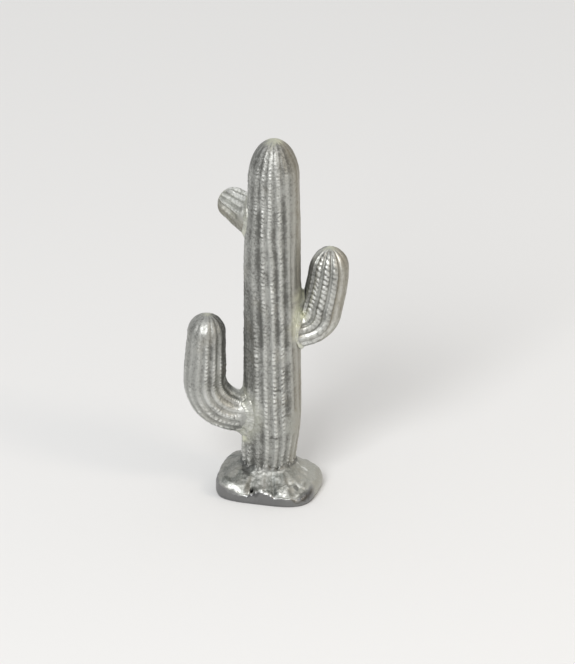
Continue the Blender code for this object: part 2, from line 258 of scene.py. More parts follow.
def ribbed_casting_tree():
    """Wraps a grid round a centreline as a ribbed skin with knotted crests, closed at root and pole."""
    tree, bench, given, identifiers = new_tree("ribbed casting", CASTING_INPUTS)

    # The grid: across it u runs once round the limb, and up it v runs from the root to the pole
    line = bench.node("GeometryNodeMeshToCurve", {}, {0: given["Centreline"]})
    length = bench.node("GeometryNodeCurveLength", {}, {0: line})
    body = length - given["Dome"]
    run_length = body + given["Dome Arc"]
    rings = (run_length / given["Ring Pitch"]).maths("ROUND")
    columns = given["Ribs"] * float(SIDES_PER_RIB)
    values = {"Size X": 1.0, "Size Y": 1.0, "Vertices X": columns + 1.0, "Vertices Y": rings + 1.0}
    grid = bench.node("GeometryNodeMeshGrid", {}, values)
    x, y, _ = bench.split(bench.node("GeometryNodeInputPosition"))
    u = x + 0.5
    v = y + 0.5

    # The centreline at a vertex, and the girth of the limb there
    run = v * run_length
    turn = ((run - body) / given["Dome Arc"]).within(0.0, 1.0) * (math.pi / 2.0)
    travelled = run.maths("MINIMUM", body) + given["Dome"] * turn.maths("SINE")
    settings = {"mode": "LENGTH", "data_type": "FLOAT"}
    values = {"Curves": line, "Value": bench.carried("girth"), "Length": travelled}
    full_girth = bench.node("GeometryNodeSampleCurve", settings, values)
    sampled = full_girth.socket.node.outputs
    centre = Wire(bench, sampled["Position"])
    tangent = Wire(bench, sampled["Tangent"])
    outer = given["Side"].vector("CROSS_PRODUCT", tangent)
    narrowing = turn.maths("COSINE")
    girth = full_girth * narrowing

    def radial(angle):
        forward = outer.vector("SCALE", angle.maths("COSINE"))
        return forward.vector("ADD", given["Side"].vector("SCALE", angle.maths("SINE")))

    # The plan says how far each crest strays, where it is dark with cast skin or with painted shade, flat,
    # worn or stained, and where the flank to the left of the crest is buffed and brightened as a painted
    # highlight
    rib_place = u * given["Ribs"]
    plan_place = bench.node("ShaderNodeCombineXYZ", {}, {0: rib_place, 1: travelled * PLAN_SCALE, 2: 0.0})
    settings = {"transform_space": "ORIGINAL"}
    sheet = bench.node("GeometryNodeObjectInfo", settings, {0: given["Plan"]}, "Geometry")

    def planned(name):
        values = {"Mesh": sheet, "Value": bench.carried(name, "FLOAT_VECTOR"), "Sample Position": plan_place}
        settings = {"data_type": "FLOAT_VECTOR"}
        return bench.split(bench.node("GeometryNodeSampleNearestSurface", settings, values))

    shift, oxide, flat = planned("plan")
    worn, stain, buff_and_painted_highlight = planned("finish")
    plain_angle = given["Crest Turn"] + u * math.tau
    plain_place = centre.vector("ADD", radial(plain_angle).vector("SCALE", full_girth))
    place = bench.seeded(plain_place, given["Seed"])
    waver = (bench.noise(place, 0.040, detail=1.0) - 0.5) * given["Waver"] * 2.0
    angle = plain_angle + waver + shift

    # Across a rib: t is 0 on the crest's middle and 1 in the groove
    across = ((rib_place + 0.5).maths("FRACT") - 0.5) * 2.0
    t = across.maths("ABSOLUTE")
    rib_number = (rib_place + 0.5).maths("FLOOR").maths("MODULO", given["Ribs"])
    settings = {"noise_dimensions": "1D"}
    chance = bench.node("ShaderNodeTexWhiteNoise", settings, {"W": rib_number + given["Seed"] * 3.1})
    band = 1.0 - t.eased(given["Crest Width"] - 0.20, given["Crest Width"])
    relief = band * given["Flat Crest"] + (1.0 - t ** 1.5) * (1.0 - given["Flat Crest"])
    relief = relief - across * (1.0 - t) * given["Lean"]

    # Ribs and knots fade into the weld at the root and into the bald cap at the pole
    fade = travelled.eased(given["Root"], given["Root"] + given["Root Fade"]) * (1.0 - flat)
    bald = girth.eased(given["Bald Radius"] * 0.8, given["Bald Radius"] * 1.8)
    ragged = girth + (bench.noise(place, 0.009, detail=3.0) - 0.5) * 0.030
    cap = 1.0 - ragged.eased(given["Bald Radius"] * 0.6, given["Bald Radius"] * 2.0)
    depth_change = bench.noise(place, 0.050, detail=1.0) * 0.8 + 0.6
    shallow = travelled.eased(length - SHALLOW_BELOW, length - SHALLOWEST_BELOW) * given["Shallow Top"]
    depth = given["Rib Depth"] * fade * bald * depth_change * narrowing.maths("MAXIMUM", 0.0) ** 0.5
    depth = depth * (1.0 - shallow)

    # The knots: short round-backed bars across each crest, some of them bent or slanted like rope
    bend = (bench.noise(place, 0.034, detail=1.0) - 0.5) * 2.0
    jitter = (bench.noise(place, 0.020, detail=1.0) - 0.5) * 1.4 + (bench.noise(place, 0.008) - 0.5) * 0.5
    closer = (travelled - length + CLOSER_BELOW).maths("MAXIMUM", 0.0) ** 2.0 * given["Closer Top"]
    phase = (travelled + closer) / given["Knot Pitch"] + chance + jitter
    phase = phase + t * given["Chevron"] * bend
    phase = phase + across * (given["Slant"] * (chance - 0.5) * 2.0 + given["Tilt"])
    back = (phase * math.pi).maths("SINE").maths("ABSOLUTE") ** given["Knot Edge"]
    side_drop = (1.0 - (t / given["Crest Width"]) ** given["Knot Squareness"]).maths("MAXIMUM", 0.0) ** 0.5
    gone = bench.noise(place, 0.026, detail=2.0).eased(0.38, 0.62, 1.0, 0.0) * given["Wear"]
    wear = (1.0 - gone) * (1.0 - worn)
    wear = wear * bench.noise(place, 0.006, detail=1.0).eased(0.30, 0.60, 1.0 - given["Wear"] * 0.8, 1.0)
    shown = fade * bald
    knot = back * side_drop * shown * wear
    before = across * -1.0
    # The flank to the left of the crest is buffed and brightened as a painted highlight where the plan says
    buffed_and_painted_highlight = before.eased(0.0, 0.25) * (1.0 - before.eased(0.70, 0.95)) * buff_and_painted_highlight * shown
    pit = (1.0 - back) * band * shown * wear

    lumps = (bench.noise(place, 0.018, detail=3.0) - 0.5) * given["Unevenness"] * (2.0 + flat * 2.0)
    lumps = lumps + (bench.noise(place, 0.006, detail=2.0) - 0.5) * given["Unevenness"] * (1.0 + flat * 3.0)
    closed = narrowing.eased(0.0, 0.25)
    rise = given["Knot Height"] * (knot - side_drop * shown * 0.55) + lumps
    radius = girth - depth * (1.0 - relief) + rise * closed
    radius = radius * (run / given["Ring Pitch"]).within(0.0, 1.0)
    target = centre.vector("ADD", radial(angle).vector("SCALE", radius))
    marks = {
        "crest": band * shown,
        "groove": t ** 1.8 * shown,
        # The knot mark also carries the flank's painted highlight
        "knot": (knot * given["Knot Shine"]).maths("MAXIMUM", buffed_and_painted_highlight),
        "pit": pit,
        # The oxide mark is dark cast skin, and painted shade where the plan says
        "oxide": oxide,
        "bare": (cap * given["Cap Stain"] + stain).within(0.0, 1.0),
        # east: how far the skin faces +X, for the painted warm reflection
        "east": bench.split(radial(angle))[0] * given["Brown"],
    }
    finish_tree(bench, grid, marks, target, given["Metal"])
    return tree, identifiers


CASTING_TREE, CASTING_SOCKETS = ribbed_casting_tree()


def linked(name, data):
    """A new object in the scene."""
    thing = bpy.data.objects.new(name, data)
    bpy.context.scene.collection.objects.link(thing)
    return thing


def plain_mesh(name, lines, tree, sockets, sizes):
    """Runs a node tree on an object and keeps only the mesh that comes out."""
    holder = linked(name + " line", lines)
    modifier = holder.modifiers.new("make", "NODES")
    modifier.node_group = tree
    for size, value in sizes.items():
        modifier[sockets[size]] = value
    graph = bpy.context.evaluated_depsgraph_get()
    mesh = bpy.data.meshes.new_from_object(holder.evaluated_get(graph), depsgraph=graph)
    holder.modifiers.clear()
    for thing in [holder, *(value for value in sizes.values() if isinstance(value, bpy.types.Object))]:
        bpy.data.objects.remove(thing)
    mesh.name = name
    return mesh


def add_marks(mesh, title, values):
    """Gives each point of a mesh a number or a vector under a title."""
    if isinstance(values[0], float):
        mesh.attributes.new(title, "FLOAT", "POINT").data.foreach_set("value", values)
    else:
        flat_values = [part for value in values for part in value]
        mesh.attributes.new(title, "FLOAT_VECTOR", "POINT").data.foreach_set("vector", flat_values)


def lined_mesh(name, points, closed=False, **marks):
    """A chain of edges with marks at its points."""
    edges = [(i, i + 1) for i in range(len(points) - 1)]
    if closed:
        edges.append((len(points) - 1, 0))
    mesh = bpy.data.meshes.new(name)
    mesh.from_pydata(points, edges, [])
    for title, values in marks.items():
        add_marks(mesh, title, values)
    return mesh


def plan_object(name, ribs, length, plan_at):
    """A flat sheet, ribs across and the limb's length up, that carries the plan for a casting."""
    rows = round(length / PLAN_STEP)
    columns = ribs * 2
    points = []
    plans = []
    finishes = []
    for row in range(rows + 1):
        travelled = length * row / rows
        for column in range(columns + 1):
            points.append((column / 2.0, travelled * PLAN_SCALE, 0.0))
            number = (column / 2.0 + ribs / 2.0) % ribs - ribs / 2.0
            plan = plan_at(number, travelled)
            plans.append([plan.get(kind, 0.0) for kind in ("shift", "oxide", "flat")])
            finishes.append([plan.get(kind, 0.0) for kind in ("worn", "stain", "buff_and_painted_highlight")])
    faces = []
    for row in range(rows):
        for column in range(columns):
            corner = row * (columns + 1) + column
            faces.append((corner, corner + 1, corner + columns + 2, corner + columns + 1))
    mesh = bpy.data.meshes.new(name)
    mesh.from_pydata(points, [], faces)
    add_marks(mesh, "plan", plans)
    add_marks(mesh, "finish", finishes)
    return bpy.data.objects.new(name, mesh)


def piece(name, mesh, nodes):
    """A finished mesh as a piece that stands for some of the solids."""
    thing = linked(name, mesh)
    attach(thing, "root")
    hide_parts(*nodes)


KNOT_BRIGHT = (0.88, 0.89, 0.86, 1.0)
CREST_GREY = (0.52, 0.525, 0.50, 1.0)
FLANK_GREY = (0.43, 0.435, 0.415, 1.0)
GROOVE_DARK = (0.13, 0.13, 0.12, 1.0)
OLIVE_SKIN = (0.78, 0.79, 0.64, 1.0)
BROWN_STAIN_AND_WARM_REFLECTION = (0.42, 0.39, 0.32, 1.0)


def new_metal(name):
    """A metal's material, the bench of its tree, and the place on the object."""
    material = bpy.data.materials.new(name)
    material.use_nodes = True
    bench = Bench(material.node_tree)
    return material, bench, bench.node("ShaderNodeTexCoord", {}, {}, "Object")


def finish_metal(bench, colour, roughness, grain, strength, depth):
    """Joins the colour, the roughness and the height of the grain to the shader."""
    shader = bench.tree.nodes["Principled BSDF"]
    shader.inputs["Metallic"].default_value = 1.0
    bump = bench.node("ShaderNodeBump", {}, {"Height": grain, "Strength": strength, "Distance": depth})
    for name, wire in {"Base Color": colour, "Roughness": roughness.within(0.2, 0.8), "Normal": bump}.items():
        bench.tree.links.new(wire.socket, shader.inputs[name])


def cast_metal(name):
    """Sand-cast aluminium: buffed knots, dark grooves, olive and brown heat stains, a fine sand grain, and
    painted shade, painted highlights on buffed flanks and a painted warm reflection on one side.
    """
    material, bench, place = new_metal(name)
    mark = bench.mark
    cloud = bench.noise(place, 0.030, detail=3.0)
    fine = bench.noise(place, 0.0045, detail=4.0)
    grit = bench.noise(place, 0.0020, detail=1.0)
    colour = bench.mix((mark("crest") + (fine - 0.5) * 0.8).within(0.0, 1.0), FLANK_GREY, CREST_GREY)
    colour = bench.mix((mark("knot") * 1.2 + (fine - 0.5) * 0.6).within(0.0, 1.0), colour, KNOT_BRIGHT)
    # Darker in the grooves and between the knots as cast skin, and where the oxide mark paints shade
    dark_skin_and_painted_shade = mark("groove") * cloud.eased(0.30, 0.65, 0.15, 0.45) + mark("pit") * 0.9 + mark("oxide") * 0.75
    speckle = (fine - 0.5) * 1.8 + (grit - 0.5) * 0.9 + (cloud - 0.5) * 0.9
    colour = bench.mix((dark_skin_and_painted_shade + speckle).within(0.0, 0.85), colour, GROOVE_DARK)
    stain = bench.noise(place, 0.050, detail=2.0)
    # Random brown stains, and a painted warm reflection on the sides that face east
    brown = stain.eased(0.56, 0.74, 0.0, 0.2) + mark("east").eased(0.55, 0.95, 0.0, 0.75) * (cloud + 0.2)
    brown = brown.within(0.0, 0.7) * (1.0 - mark("knot") * 0.7)
    colour = bench.mix(brown.within(0.0, 1.0), colour, BROWN_STAIN_AND_WARM_REFLECTION)
    olive = mark("bare") * (cloud * 1.2 + fine * 0.8 - 0.25)
    colour = bench.mix(olive.within(0.0, 1.0), colour, OLIVE_SKIN)
    roughness = 0.50 - mark("knot") * 0.14 + mark("groove") * 0.10 + mark("oxide") * 0.10
    roughness = roughness + (cloud - 0.5) * 0.20 + (fine - 0.5) * 0.25
    grain = bench.noise(place, 0.0014, detail=2.0) * 0.5 + fine + grit * 0.6
    finish_metal(bench, colour, roughness, grain, 0.45, 0.0006)
    return material


# How far the crests stray from even spacing, in degrees at some heights, by rib from the left flank to the
# right. Every other rib strays as the last row says.
STRAY_HEIGHTS = (0.08, 0.15, 0.26, 0.40, 0.48, 0.56)
CREST_STRAYS = {
    -3: (8.0, 2.0, -8.0, -13.0, -12.0, -10.0),
    -2: (13.0, 7.0, 4.0, -5.0, -6.0, -5.0),
    -1: (12.0, 5.0, 3.0, -2.0, -6.0, -8.0),
    0: (12.0, 3.0, 1.0, -3.0, -12.0, -11.0),
    1: (7.0, 0.0, -1.0, -4.0, -9.0, -13.0),
    2: (4.0, 4.0, -2.0, -5.0, -9.0, -12.0),
    3: (0.0, 0.0, -6.0, -12.0, -11.0, -8.0),
    None: (8.0, 3.0, -1.0, -5.0, -8.0, -9.0),
}
# What the cast skin is like: for each kind (first rib, last rib, softness), (low end, high end, softness) and
# strength. Rib 0 is the trunk's front rib, and the numbers grow to the right. Some oxide rows are painted
# shade, and the buff rows are buffing with a painted highlight.
TRUNK_PATCHES = {
    "oxide": (
        ((-1.65, -1.35, 0.6), (0.27, 0.50, 0.02), 0.9),
        ((0.4375, 0.5625, 0.25), (0.28, 0.50, 0.02), 0.8),
        ((1.5125, 1.6875, 0.35), (0.27, 0.52, 0.02), 0.8),
        ((1.375, 1.625, 0.5), (0.14, 0.22, 0.02), 0.5),
        # The next three rows are painted shade on the trunk's left flank
        ((-3.8, -3.0, 1.6), (0.19, 0.37, 0.02), 0.6),
        ((-2.6, -1.8, 1.6), (0.20, 0.57, 0.02), 0.35),
        ((-2.5, -1.9, 1.2), (0.05, 0.13, 0.02), 0.6),
        ((-5.0, 5.0, 20.0), (0.580, 0.62, 0.02), 0.55),
        ((-0.1, 1.3, 0.3), (0.188, 0.188, 0.0035), 0.8),
        ((-0.7, 0.3, 0.3), (0.104, 0.104, 0.0035), 1.0),
        ((-1.3, -0.9, 0.3), (0.300, 0.300, 0.0035), 0.7),
    ),
    "flat": (((-4.5, -2.4, 0.8), (0.20, 0.60, 0.03), 0.35),),
    "worn": (
        ((0.7, 1.3, 0.5), (0.28, 0.36, 0.012), 0.5),
        ((-0.3, 0.3, 0.5), (0.26, 0.30, 0.012), 0.7),
        ((1.7, 6.3, 0.5), (0.10, 0.56, 0.012), 0.9),
        ((-3.3, -1.7, 0.5), (0.34, 0.48, 0.012), 0.6),
        ((-9.3, 9.3, 0.5), (0.568, 0.62, 0.012), 0.4),
        ((-9.3, 9.3, 0.5), (0.592, 0.62, 0.012), 0.8),
    ),
    # Buffing and a painted highlight on the flank to the left of these crests
    "buff_and_painted_highlight": (
        ((-1.0, -1.0, 0.6), (0.52, 0.57, 0.02), 0.6),
        ((1.0, 1.0, 0.6), (0.575, 0.60, 0.01), 0.7),
        ((1.0, 1.0, 0.6), (0.27, 0.46, 0.03), 0.5),
    ),
}
# Smears of weld: the turn from the front in degrees, the height, the radius and how much they are stained
SMEARS = (
    (-90.0, 0.1325, 0.050, 0.45), (99.0, 0.300, 0.044, 0.9), (-145.0, 0.468, 0.040, 0.7),
    (50.0, 0.125, 0.022, 0.10), (92.0, 0.330, 0.030, 0.6), (-75.0, 0.094, 0.014, 0.9),
)
SMEAR_GIRTH = 0.047
FRONT_RIB_TURN = 2.0


def strongest(patches, number, along):
    """The strongest patch of each kind at a rib number and a place along the limb."""
    return {
        kind: max(strength * window(number, *ribs) * window(along, *run) for ribs, run, strength in rows)
        for kind, rows in patches.items()
    }


def stray(number, height):
    """How far the crest of a whole-numbered rib strays at a height, in degrees."""
    return eased(list(zip(STRAY_HEIGHTS, CREST_STRAYS.get(number, CREST_STRAYS[None]))), height)


def trunk_plan(number, travelled):
    """What the trunk's skin is like at a rib number and a length from its foot, and the crest's shift."""
    height = TRUNK_FOOT + travelled
    plan = strongest(TRUNK_PATCHES, number, height)
    below = math.floor(number)
    low = stray(below, height)
    plan["shift"] = math.radians(low + (stray(below + 1, height) - low) * (number - below))
    plan["stain"] = 0.0
    for turn, middle, radius, amount in SMEARS:
        apart = (number * 360.0 / TRUNK_RIBS + FRONT_RIB_TURN - turn + 180.0) % 360.0 - 180.0
        distance = math.hypot(math.radians(apart) * SMEAR_GIRTH, height - middle)
        distance += 0.010 * noise.noise(Vector((number * 0.9, height / 0.011, turn)))
        smear = window(distance, 0.0, radius * 0.7, radius * 0.5)
        plan["flat"] = max(plan["flat"], smear)
        plan["stain"] = max(plan["stain"], smear * amount)
    return plan


cast = cast_metal("cast aluminium")


def casting(name, nodes, points, girths, length, plan_at, **sizes):
    """Casts a limb along its centreline. The sizes are the node tree's inputs, in small letters."""
    sizes = {size.replace("_", " ").title(): value for size, value in sizes.items()}
    sizes |= {"Plan": plan_object(name + " plan", sizes["Ribs"], length, plan_at), "Metal": cast}
    line = lined_mesh(name + " line", points, girth=girths)
    piece(name, plain_mesh(name, line, CASTING_TREE, CASTING_SOCKETS, sizes), nodes)


heights = [TRUNK_FOOT + (TRUNK_TOP - TRUNK_FOOT) * step / TRUNK_STEPS for step in range(TRUNK_STEPS + 1)]
casting(
    "trunk_casting", ["trunk"], [(eased(TRUNK_SWAY, height), 0.0, height) for height in heights],
    [eased(TRUNK_GIRTHS, height) for height in heights], TRUNK_TOP - TRUNK_FOOT, trunk_plan,
    ribs=TRUNK_RIBS, crest_turn=math.radians(FRONT_RIB_TURN - 90.0), dome=0.066, dome_arc=0.086,
    bald_radius=0.0105, shallow_top=0.55, closer_top=1.1, knot_height=0.0018, ring_pitch=0.00132,
)

# The arms
# Each arm is a smaller casting of the same kind, ribbed and knotted like the trunk, with a domed end. Its
# root is cut to the trunk's round side and welded there. The stub at the back has hardly any knots.

ARM_STEP = 0.002
# Metres and degrees: the heading is from +X, and a bend is its radius and the rise that it ends with
ARMS = {
    "left_arm": {
        "heading": 180.0,
        "root_height": 0.1325,
        "root_rise": 0.0,
        "root_run": 0.0500,
        "bends": ((0.0590, 92.5),),
        "length": 0.2545,
        "girths": ((0.045, 0.0335), (0.096, 0.0362), (0.150, 0.0345), (0.233, 0.0315)),
    },
    "right_arm": {
        "heading": 9.0,
        "root_height": 0.2770,
        "root_rise": 0.0,
        "root_run": 0.0415,
        "bends": ((0.0375, 72.0), (0.3500, 88.0)),
        "length": 0.2025,
        "girths": ((0.045, 0.0325), (0.085, 0.0360), (0.120, 0.0345), (0.177, 0.0330)),
    },
    "back_arm": {
        "heading": 145.0,
        "root_height": 0.4590,
        "root_rise": 13.0,
        "root_run": 0.0500,
        "bends": ((0.1500, 19.0),),
        "length": 0.1060,
        "girths": ((0.045, 0.0325), (0.085, 0.0265)),
    },
}


def arm_frame(arm, travelled):
    """The centreline's point at a length from the trunk's axis, and the way the bend's outside faces."""
    rise = math.radians(arm["root_rise"])
    straight = min(travelled, arm["root_run"])
    out = straight * math.cos(rise)
    up = straight * math.sin(rise)
    left = travelled - straight
    for radius, rise_after in arm["bends"]:
        bent = min(left, radius * (math.radians(rise_after) - rise))
        turned = rise + bent / radius
        out += radius * (math.sin(turned) - math.sin(rise))
        up += radius * (math.cos(rise) - math.cos(turned))
        rise = turned
        left -= bent
    out += left * math.cos(rise)
    up += left * math.sin(rise)
    heading = math.radians(arm["heading"])
    ahead = Vector((math.cos(heading), math.sin(heading), 0.0))
    base = Vector((eased(TRUNK_SWAY, arm["root_height"]), 0.0, arm["root_height"] + up))
    return base + out * ahead, math.sin(rise) * ahead - Vector((0.0, 0.0, math.cos(rise)))


def arm_side(arm):
    """The way that stays level across the arm."""
    heading = math.radians(arm["heading"])
    return Vector((-math.sin(heading), math.cos(heading), 0.0))


def arm_casting(arm_name, nodes, plan_at, **sizes):
    """Casts an arm from the trunk's axis outwards."""
    arm = ARMS[arm_name]
    steps = round(arm["length"] / ARM_STEP)
    lengths = [arm["length"] * step / steps for step in range(steps + 1)]
    points = [arm_frame(arm, travelled)[0] for travelled in lengths]
    girths = [eased(arm["girths"], travelled) for travelled in lengths]
    sizes["side"] = arm_side(arm)
    casting(arm_name + "_casting", nodes, points, girths, arm["length"], plan_at, **sizes)


WHOLE_ARM = (0.0, 0.30, 0.02)
ALL_RIBS = (-8.0, 8.0, 1.0)
# The left arm is shallow and plain on its left flank and its dome, and has a strip of painted shade on the
# right
LEFT_PATCHES = {
    "oxide": (
        ((2.6, 5.0, 0.6), (0.10, 0.30, 0.02), 0.8),
        ((0.5, 0.5, 0.3), (0.13, 0.24, 0.02), 0.5),
        (ALL_RIBS, (0.225, 0.30, 0.02), 0.15),
    ),
    "flat": (
        ((-6.0, -0.9, 0.5), (0.135, 0.30, 0.03), 0.55),
        ((-6.0, -0.2, 0.5), (0.225, 0.30, 0.02), 0.6),
    ),
    "worn": (((1.0, 1.0, 0.6), WHOLE_ARM, 0.5), (ALL_RIBS, (0.225, 0.30, 0.02), 1.0)),
    # Buffing and a painted highlight on the elbow's flanks
    "buff_and_painted_highlight": (((-1.0, 5.0, 0.5), (0.0, 0.12, 0.03), 0.4),),
}
# The right arm has bold bars on its front ribs, plainer ribs to their right, and painted shade in a strip to
# their left and on the ribs that face right and back
RIGHT_ELBOW = (0.0, 0.080, 0.025)
RIGHT_UPRIGHT = (0.105, 0.30, 0.025)
RIGHT_PATCHES = {
    "shift": ((ALL_RIBS, RIGHT_UPRIGHT, math.radians(-4.0)),),
    "oxide": (((-3.0, -1.7, 0.4), (0.110, 0.172, 0.015), 0.9), ((3.4, 6.0, 0.7), WHOLE_ARM, 0.5)),
    "flat": (((-4.4, -1.6, 0.8), (0.0, 0.076, 0.014), 1.0),),
    "worn": (((-4.0, -2.0, 0.3), WHOLE_ARM, 0.8), ((-1.0, 2.5, 0.5), RIGHT_ELBOW, 0.55)),
    "stain": (((-4.0, -1.6, 1.0), (0.0, 0.082, 0.014), 0.7),),
    # Buffing and painted highlights on the elbow's flanks and on one rib of the upright
    "buff_and_painted_highlight": (((0.3, 2.6, 0.5), RIGHT_ELBOW, 0.6), ((2.0, 2.0, 0.4), RIGHT_UPRIGHT, 0.7)),
}


def left_plan(number, travelled):
    return strongest(LEFT_PATCHES, number, travelled)


def right_plan(number, travelled):
    """As the patches say, with ribs to the right that are worn more in the upright than in the elbow."""
    plan = strongest(RIGHT_PATCHES, number, travelled)
    worn = 0.5 + 0.4 * window(travelled, *RIGHT_UPRIGHT)
    plan["worn"] = max(plan["worn"], worn * window(number, 1.2, 6.0, 0.4))
    return plan


def stub_plan(number, travelled):
    """Painted shade on the underside, and a painted highlight on the flanks above it, as buffing."""
    oxide = 0.9 * window(number, -2.6, 2.6, 1.0)
    return {"oxide": oxide, "stain": 0.1, "buff_and_painted_highlight": 0.9 * (1.0 - oxide)}


arm_casting(
    "left_arm", ["left_arm_elbow", "left_arm_upright"], left_plan,
    ribs=15, crest_turn=math.radians(92.5), dome=0.031, dome_arc=0.050, bald_radius=0.0045, root=0.046,
    root_fade=0.012, rib_depth=0.0024, knot_height=0.0012, knot_pitch=0.0064, brown=0.3, seed=4.3,
)
arm_casting(
    "right_arm", ["right_arm_elbow", "right_arm_upright"], right_plan,
    ribs=13, crest_turn=math.radians(-103.0), dome=0.039, dome_arc=0.057, bald_radius=0.007, root=0.036,
    root_fade=0.008, rib_depth=0.0044, knot_height=0.0012, knot_edge=1.2, knot_squareness=7.0, knot_shine=0.5,
    knot_pitch=0.0086, slant=0.0, tilt=0.35, chevron=0.3, lean=0.0, flat_crest=0.8, crest_width=0.76,
    wear=0.3, brown=1.6, seed=9.1,
)
arm_casting(
    "back_arm", ["back_arm"], stub_plan,
    ribs=13, crest_turn=0.0, dome=0.024, dome_arc=0.040, bald_radius=0.011, root=0.046, root_fade=0.012,
    rib_depth=0.0046, knot_height=0.0002, brown=-1.3, seed=2.2,
)

# The welds
# Aluminium filler, laid by hand in the corner round each arm's root and ground back to a pale, rippled
# fillet that runs out on the trunk and on the arm. In the right arm's crotch it fills the narrow gap.

WELD_INPUTS = {
    "Corner": "NodeSocketGeometry",
    "Fill": 0.36,
    "Sink": 0.0048,
    "Ripple": 0.0007,
    "Ripple Pitch": 0.0042,
    "Depth": 0.006,
    "Stain": 0.3,
    "Rows Along": 300,
    "Rows Across": 40,
    "Seed": 0.0,
    "Metal": "NodeSocketMaterial",
}


def weld_tree():
    """Bends a grid into a closed fillet along a corner, from a line on the trunk to a line on the arm."""
    tree, bench, given, identifiers = new_tree("weld fillet", WELD_INPUTS)
    line = bench.node("GeometryNodeMeshToCurve", {}, {0: given["Corner"]})
    length = bench.node("GeometryNodeCurveLength", {}, {0: line})
    rows = {"Vertices X": given["Rows Along"], "Vertices Y": given["Rows Across"]}
    grid = bench.node("GeometryNodeMeshGrid", {}, {"Size X": 1.0, "Size Y": 1.0} | rows)
    x, y, _ = bench.split(bench.node("GeometryNodeInputPosition"))
    along = (x + 0.5) * length
    v = (y + 0.5) * 2.0

    def sampled(name, output="Value"):
        settings = {"mode": "LENGTH", "data_type": "FLOAT_VECTOR"}
        values = {"Curves": line, "Value": bench.carried(name, "FLOAT_VECTOR"), "Length": along}
        return bench.node("GeometryNodeSampleCurve", settings, values, output)

    corner = sampled("trunk_way", "Position")
    trunk_way = sampled("trunk_way")
    arm_way = sampled("arm_way")
    outward = trunk_way.vector("ADD", arm_way)
    front = v.within(0.0, 1.0)
    back = (v - 1.0).within(0.0, 1.0)
    s = front - back

    # The front is a curve from the trunk to the arm that bulges by the fill, and the back lies in the metal
    trunk_share = (1.0 - s) ** 2.0 + given["Fill"] * 2.0 * s * (1.0 - s)
    arm_share = s ** 2.0 + given["Fill"] * 2.0 * s * (1.0 - s)
    on_trunk = trunk_way.vector("SCALE", trunk_share)
    on_arm = arm_way.vector("SCALE", arm_share)
    face = corner.vector("ADD", on_trunk).vector("ADD", on_arm)
    place = bench.seeded(face, given["Seed"])
    middle = (s * (1.0 - s) * 4.0).within(0.0, 1.0)
    ripple = (along / given["Ripple Pitch"] + bench.noise(place, 0.02) * 2.0) * math.tau
    lumps = (bench.noise(place, 0.009, detail=3.0) - 0.5) * 5.0 + ripple.maths("SINE") * 0.35
    rise = lumps * given["Ripple"] * middle - given["Sink"] * (1.0 - middle) ** 4.0
    depth = (back * (1.0 - back) * 4.0).within(0.0, 1.0) * given["Depth"]
    normal = outward.vector("NORMALIZE")
    target = face.vector("ADD", normal.vector("SCALE", rise - depth))
    mottle = bench.noise(place, 0.010, detail=2.0).eased(0.30, 0.65, 0.3, 1.2)
    bare = middle.eased(0.0, 0.6, 0.3, 1.0) * mottle * given["Stain"]
    marks = {"bare": bare, "knot": (lumps * 0.3 + 0.25) * middle}
    finish_tree(bench, grid, marks, target, given["Metal"])
    return tree, identifiers


WELD_TREE, WELD_SOCKETS = weld_tree()
WELD_STOPS = 120
SEARCH_START = 0.02
SEARCH_STEP = 0.0002


def on_arm(arm, travelled, angle):
    """A point of an arm's plain surface, and the way that the surface faces there."""
    centre, outer = arm_frame(arm, travelled)
    facing = math.cos(angle) * outer + math.sin(angle) * arm_side(arm)
    return centre + eased(arm["girths"], travelled) * facing, facing


def on_trunk(point):
    """The nearest point of the trunk's plain surface at the same height."""
    axis = Vector((eased(TRUNK_SWAY, point.z), 0.0, point.z))
    return axis + (point - axis).normalized() * eased(TRUNK_GIRTHS, point.z)


def corner_at(arm, angle):
    """Where an arm's surface comes out of the trunk: the length there, the point and both outward ways."""
    travelled = SEARCH_START
    while True:
        point, facing = on_arm(arm, travelled, angle)
        from_axis = Vector((point.x - eased(TRUNK_SWAY, point.z), point.y, 0.0))
        if from_axis.length >= eased(TRUNK_GIRTHS, point.z):
            return travelled, point, from_axis.normalized(), facing
        travelled += SEARCH_STEP


def weld(arm_name, trunk_reach, arm_reach, crotch=0.0, **sizes):
    """Lays a fillet that reaches so far over the trunk and the arm, and farther in the crotch above it."""
    arm = ARMS[arm_name]
    angles = [math.tau * stop / WELD_STOPS for stop in range(WELD_STOPS)]
    corners = [corner_at(arm, angle) for angle in angles]
    trunk_ways = []
    arm_ways = []
    for stop, (travelled, point, trunk_out, arm_out) in enumerate(corners):
        along = (corners[(stop + 1) % WELD_STOPS][1] - corners[stop - 1][1]).normalized()
        trunk_way = trunk_out.cross(along).normalized()
        trunk_way *= 1.0 if trunk_way.dot(arm_out) > 0.0 else -1.0
        more = crotch * max(-math.cos(angles[stop]), 0.0) ** 2
        uneven = 1.0 + 0.5 * noise.noise(point / 0.008)
        trunk_ways.append(on_trunk(point + trunk_way * (trunk_reach * uneven + more)) - point)
        end, _ = on_arm(arm, travelled + arm_reach * uneven + more, angles[stop])
        arm_ways.append(end - point)
    points = [point for _, point, _, _ in corners]
    line = lined_mesh(arm_name + " corner", points, closed=True, trunk_way=trunk_ways, arm_way=arm_ways)
    name = arm_name + "_weld_fillet"
    mesh = plain_mesh(name, line, WELD_TREE, WELD_SOCKETS, {"Metal": filler} | sizes)
    piece(name, mesh, [arm_name + "_weld"])


filler = cast_metal("weld filler")
weld("left_arm", 0.0105, 0.0110, Fill=0.16, Ripple=0.0006, Stain=0.3, Seed=1.0)
weld("right_arm", 0.0045, 0.0035, crotch=0.020, Stain=0.8, Seed=2.0)
weld("back_arm", 0.0070, 0.0080, Fill=0.26, Ripple=0.0006, Stain=0.5, Seed=3.0)

